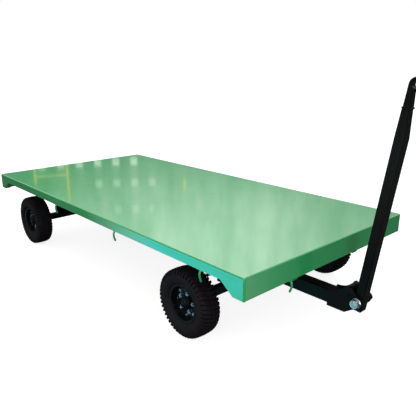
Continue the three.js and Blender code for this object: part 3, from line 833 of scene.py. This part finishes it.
# The neck's section as (z, rear, front): it runs up beside the bore until its back meets the eye's
NECK = (
    (1048.5, -24.0, 13.0), (1126.0, -23.0, 3.9), (1140.0, -22.8, 1.0), (1149.0, -22.6, -7.4),
    (1159.0, -22.5, -8.0),
)


def handle_ring(z, front, half_width, inset=0.0):
    corner = max(HANDLE["corner"] - inset, 1.0)
    rear = -HANDLE["half_length"]
    outline = rounded(rear + inset, front - inset, -half_width + inset, half_width - inset, corner)
    return [(x, y, z) for x, y in outline]


def handle_tube():
    wide = (HANDLE["half_length"], HANDLE["half_width"])
    narrow = (HANDLE["top_front"], HANDLE["top_half_width"])
    wall = HANDLE["wall"]
    rings = [
        handle_ring(HANDLE["top"] - wall, *narrow, wall),
        handle_ring(HANDLE["taper"], *wide, wall),
        handle_ring(HANDLE["bottom"], *wide, wall),
        handle_ring(HANDLE["bottom"], *wide, 0.8),
        handle_ring(HANDLE["bottom"] + 0.8, *wide),
        handle_ring(HANDLE["taper"], *wide),
        handle_ring(HANDLE["top"] - 1.5, *narrow),
        handle_ring(HANDLE["top"], *narrow, 1.5),
    ]
    return loft(rings)


def tow_eye():
    """The round eye on its neck."""
    half, outer, bore = EYE["half_width"], EYE["radius"], EYE["bore"]
    ease = 4.0
    bend = [math.radians(90 * i / 4) for i in range(5)]
    profile = [(outer - ease + ease * math.sin(a), -half + ease * (1 - math.cos(a))) for a in bend]
    profile += [(r, -z) for r, z in reversed(profile)]
    profile += [(bore + 2, half), (bore, half - 2), (bore, -half + 2), (bore + 2, -half)]
    ring = moved(turned(profile, 72, closed=True), Matrix.Rotation(math.pi / 2, 4, "X"))
    side = half - 0.2
    rings = [[(x, y, z) for x, y in rounded(rear, front, -side, side, 4)] for z, rear, front in NECK]
    return merged(shifted(ring, EYE["x"], 0, EYE["z"]), loft(rings))


def collar():
    """The weld that closes the tube's top round the neck."""
    outline = rounded(-25.0, 13.5, -24.5, 24.5, 6, 8)
    path = []
    for (x0, y0), (x1, y1) in zip(outline, outline[1:] + outline[:1]):
        steps = max(1, round(math.hypot(x1 - x0, y1 - y0) / 2.5))
        for i in range(steps):
            path.append((x0 + (x1 - x0) * i / steps, y0 + (y1 - y0) * i / steps, HANDLE["top"] + 0.5))
    return swept(path, 4.2, (0, 0, 1), 8, 0.09, closed=True)


def build_handle():
    centre = Vector(JOINT["handle_hinge"]["pos_m"])
    stand = Matrix.Translation(centre) @ Matrix.Rotation(math.radians(HANDLE["tilt"]), 4, "Y")
    piece("handle_box", handle_tube(), "black_paint", "handle", ["handle_tube"], stand)
    piece("tow_ring", tow_eye(), "black_paint", "handle", ["tow_eye"], stand)
    piece("handle_top_weld", collar(), "black_paint", "handle", [], stand)
    bush = turned([(15.4, -40), (22, -40), (22, 40), (15.4, 40)], 48, closed=True)
    bush = moved(bush, Matrix.Rotation(math.pi / 2, 4, "X"))
    piece("handle_bush_smooth", bush, "plain_steel", "handle", ["handle_bush"], stand)


# ---- Welds ---------------------------------------------------------------------------------------


def corner_lines(low, high, z, x=True, y=True):
    """The edges of a box's outline at height z, as pairs of points in millimetres."""
    x0, x1, y0, y1 = low.x / MM, high.x / MM, low.y / MM, high.y / MM
    lines = []
    if x:
        lines += [((x0, y0, z), (x1, y0, z)), ((x0, y1, z), (x1, y1, z))]
    if y:
        lines += [((x0, y0, z), (x0, y1, z)), ((x1, y0, z), (x1, y1, z))]
    return lines


def build_welds():
    rear = []
    for side in SIDE:
        low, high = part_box(f"rear_pedestal_{side}")
        axle_low, axle_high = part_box("rear_axle")
        foot = (Vector((axle_low.x, low.y, 0)), Vector((axle_high.x, high.y, 0)))
        rear += corner_lines(*foot, low.z / MM, x=False)
        beam_low, beam_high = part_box(f"main_beam_{side}")
        head = (Vector((low.x, beam_low.y, 0)), Vector((high.x, beam_high.y, 0)))
        rear += corner_lines(*head, high.z / MM)
    piece("rear_welds", merged(*(weld(a, b, 2.6, UP) for a, b in rear)), "black_paint", "chassis")
    steering = []
    low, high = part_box("drawbar_tube")
    x0, y0, z0 = low.x / MM, low.y / MM, low.z / MM
    x1, y1, z1 = high.x / MM, high.y / MM, high.z / MM
    root = z0 + TUBE_CORNER
    steering += [((x0, y0, root), (x0, y0, ROOT_WELD_TOP)), ((x0, y1, root), (x0, y1, ROOT_WELD_TOP))]
    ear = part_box("drawbar_ear_right")[0].x / MM
    for side in (y0, y1):
        steering += [((ear, side, root), (ear, side, z1 - 6))]
        steering += [((ear + 2, side, z1), (x1, side, z1))]
    stop_low, stop_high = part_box("handle_stop")
    for side in (stop_low.y / MM, stop_high.y / MM):
        steering += [((stop_low.x / MM, side, stop_low.z / MM), (stop_low.x / MM, side, stop_high.z / MM))]
    beads = [weld(a, b, 2.8, Vector((0.3, 1, 0.2))) for a, b in steering]
    piece("drawbar_welds", merged(*beads), "black_paint", "steering")


# ---- Stage ---------------------------------------------------------------------------------------


def build_stage():
    """A pale floor. The trailer is lit and mirrored by the room alone, as on a seamless white sheet."""
    half = 60.0
    mesh = bpy.data.meshes.new("floor")
    corners = [(-half, -half, 0), (half, -half, 0), (half, half, 0), (-half, half, 0)]
    mesh.from_pydata(corners, [], [(0, 1, 2, 3)])
    glow = {"Emission Color": rgba((1, 1, 1)), "Emission Strength": 0.84}
    mesh.materials.append(surface("pale_floor", floor_recipe, Roughness=0.9, **glow))
    floor = bpy.data.objects.new("floor", mesh)
    floor.visible_diffuse = False
    floor.visible_glossy = False
    bpy.context.scene.collection.objects.link(floor)


# Elevation in degrees and the room's brightness there
ROOM = (
    (-90, 0.03), (-50, 0.05), (-30, 0.16), (-12, 0.24), (0, 0.20), (7, 0.18), (10, 0.20), (13, 0.40),
    (16, 0.85), (20, 1.35), (25, 1.9), (34, 2.0), (55, 1.1), (90, 0.7),
)
WINDOWS = {"first": 145.9, "pitch": 2.14, "half_width": 0.40, "half_height": 0.42}
# Each row's elevation, its ends in azimuth, and its glow
WINDOW_ROWS = ((10.85, 144.8, 157.6, 0.95), (13.35, 143.2, 151.2, 0.62), (16.5, 143.6, 148.9, 0.5))
POSTS = ((157.4, 10.0, 12.9), (153.75, 10.0, 15.4), (139.8, 13.1, 14.3))
RAIL_BAR = (12.1, 153.75, 157.4)
POST_GLOW = 0.6
POST_HALF = 0.12
BAR_HALF = 0.1
# Low lights in the room: a slanting pane for the right-hand rail, and a pale patch for the front beam
PANE = {"azimuth": -141.0, "ends": (-147.5, -122.0), "low": -24.0, "height": 9.0, "slope": -0.5, "glow": 3.7}
PATCH = {"azimuth": (40.0, 50.0), "elevation": (-30.0, -19.0), "glow": 0.8}


def band(nodes, value, low, high, soft):
    """1 between low and high, falling to 0 over soft on both sides."""
    rise = nodes.spread(value, low - soft, low + soft)
    fall = nodes.spread(value, high - soft, high + soft, 1.0, 0.0)
    return nodes.math("MULTIPLY", rise, fall)


def room_glow(nodes, azimuth, elevation):
    """Windows in rows and yellow posts, as a workshop shows in a glossy deck."""
    from_first = nodes.math("SUBTRACT", azimuth, WINDOWS["first"])
    from_window = nodes.math("PINGPONG", from_first, WINDOWS["pitch"] / 2)
    columns = nodes.spread(from_window, WINDOWS["half_width"] - 0.2, WINDOWS["half_width"] + 0.2, 1.0, 0.0)
    total = None
    for level, left, right, glow in WINDOW_ROWS:
        row = band(nodes, elevation, level - WINDOWS["half_height"], level + WINDOWS["half_height"], 0.2)
        part = nodes.math("MULTIPLY", row, columns)
        part = nodes.math("MULTIPLY", part, band(nodes, azimuth, left, right, 0.3))
        part = nodes.math("MULTIPLY", part, glow)
        total = part if total is None else nodes.math("ADD", total, part)
    yellow = None
    for place, low, high in POSTS:
        upright = band(nodes, azimuth, place - POST_HALF, place + POST_HALF, 0.1)
        part = nodes.math("MULTIPLY", upright, band(nodes, elevation, low, high, 0.3))
        yellow = part if yellow is None else nodes.math("MAXIMUM", yellow, part)
    level, left, right = RAIL_BAR
    bar = band(nodes, elevation, level - BAR_HALF, level + BAR_HALF, 0.1)
    part = nodes.math("MULTIPLY", bar, band(nodes, azimuth, left, right, 0.1))
    return total, nodes.math("MAXIMUM", yellow, part)


def blue_pane(nodes, azimuth, elevation):
    """A low sheet of daylight that the near half of the right-hand rail mirrors."""
    turn = nodes.math("MULTIPLY", nodes.math("SUBTRACT", azimuth, PANE["azimuth"]), PANE["slope"])
    level = nodes.math("SUBTRACT", elevation, nodes.math("ADD", turn, PANE["low"]))
    rows = band(nodes, level, 0.0, PANE["height"], 0.8)
    return nodes.math("MULTIPLY", rows, band(nodes, azimuth, *PANE["ends"], 5.0))


def build_world():
    """White to the eye; for light and reflections, a workshop that is brightest above its windows."""
    world = bpy.data.worlds.new("studio")
    bpy.context.scene.world = world
    world.use_nodes = True
    nodes = Nodes(world.node_tree)
    direction = nodes.add("ShaderNodeTexCoord").outputs["Generated"]
    axes = nodes.add("ShaderNodeSeparateXYZ", {0: direction})
    azimuth = nodes.math("DEGREES", nodes.math("ARCTAN2", axes.outputs["Y"], axes.outputs["X"]))
    elevation = nodes.math("DEGREES", nodes.math("ARCSINE", axes.outputs["Z"]))
    ramp = nodes.add("ShaderNodeValToRGB", {"Fac": nodes.spread_evenly(elevation, -90, 90)})
    elements = ramp.color_ramp.elements
    while len(elements) < len(ROOM):
        elements.new(0.5)
    brightest = max(value for _, value in ROOM)
    for element, (degrees, value) in zip(elements, ROOM):
        element.position = (degrees + 90) / 180
        share = value / brightest
        element.color = (share, share, share, 1)
    strength = nodes.math("MULTIPLY", ramp.outputs["Color"], brightest)
    facing = band(nodes, azimuth, 122.0, 150.0, 9.0)
    strength = nodes.math("MULTIPLY", strength, nodes.spread_evenly(facing, 0, 1, 0.52, 1.0))
    streaks = nodes.add("ShaderNodeCombineXYZ", {0: azimuth, 1: nodes.math("MULTIPLY", elevation, 0.3)})
    streaks = nodes.noise(streaks.outputs[0], 0.45, 4.0, 0.6)
    strength = nodes.math("MULTIPLY", strength, nodes.spread(streaks, 0.3, 0.7, 0.78, 1.28))
    windows, yellow = room_glow(nodes, azimuth, elevation)
    strength = nodes.math("ADD", strength, windows)
    strength = nodes.math("ADD", strength, nodes.math("MULTIPLY", yellow, POST_GLOW))
    low = nodes.spread(elevation, -2.0, 14.0, 1.0, 0.0)
    tint = nodes.mix(low, rgba((1.0, 1.0, 0.97)), rgba((0.80, 1.0, 0.86)))
    tint = nodes.mix(yellow, tint, rgba((1.1, 0.85, 0.08)))
    pane = blue_pane(nodes, azimuth, elevation)
    tint = nodes.mix(pane, tint, rgba((0.08, 0.80, 1.0)))
    strength = nodes.math("ADD", strength, nodes.math("MULTIPLY", pane, PANE["glow"]))
    patch = band(nodes, azimuth, *PATCH["azimuth"], 5.0)
    patch = nodes.math("MULTIPLY", patch, band(nodes, elevation, *PATCH["elevation"], 3.0))
    strength = nodes.math("ADD", strength, nodes.math("MULTIPLY", patch, PATCH["glow"]))
    room = nodes.add("ShaderNodeBackground", {"Color": tint, "Strength": strength})
    backdrop = nodes.add("ShaderNodeBackground", {"Color": rgba((1, 1, 1)), "Strength": 1.0})
    seen = nodes.add("ShaderNodeLightPath").outputs["Is Camera Ray"]
    mixed = nodes.add("ShaderNodeMixShader", {0: seen, 1: room.outputs[0], 2: backdrop.outputs[0]})
    nodes.add("ShaderNodeOutputWorld", {"Surface": mixed.outputs[0]})


# Each light's name, place, target, size, power and colour
LIGHTS = (
    ("overhead", (-1.7, 0.2, 4.0), (-1.3, 0.1, 0.0), (3.4, 3.4), 92, (1, 1, 1)),
    ("near_side", (1.1, -3.0, 0.42), (1.1, -0.7, 0.42), (1.6, 0.5), 14, (0.97, 0.98, 1.0)),
    ("near_end", (3.4, -1.7, 0.45), (1.3, -0.7, 0.45), (0.9, 0.5), 16, (0.88, 0.96, 1.0)),
)


def build_lights():
    for light in LIGHTS:
        area_light(*light)


make_camera()
build_world()
build_stage()
build_lights()
dress_cad_nodes()
build_deck()
build_hooks()
build_wheels()
build_running_gear()
build_drawbar()
build_handle()
build_welds()
bpy.context.scene.view_settings.view_transform = "Standard"
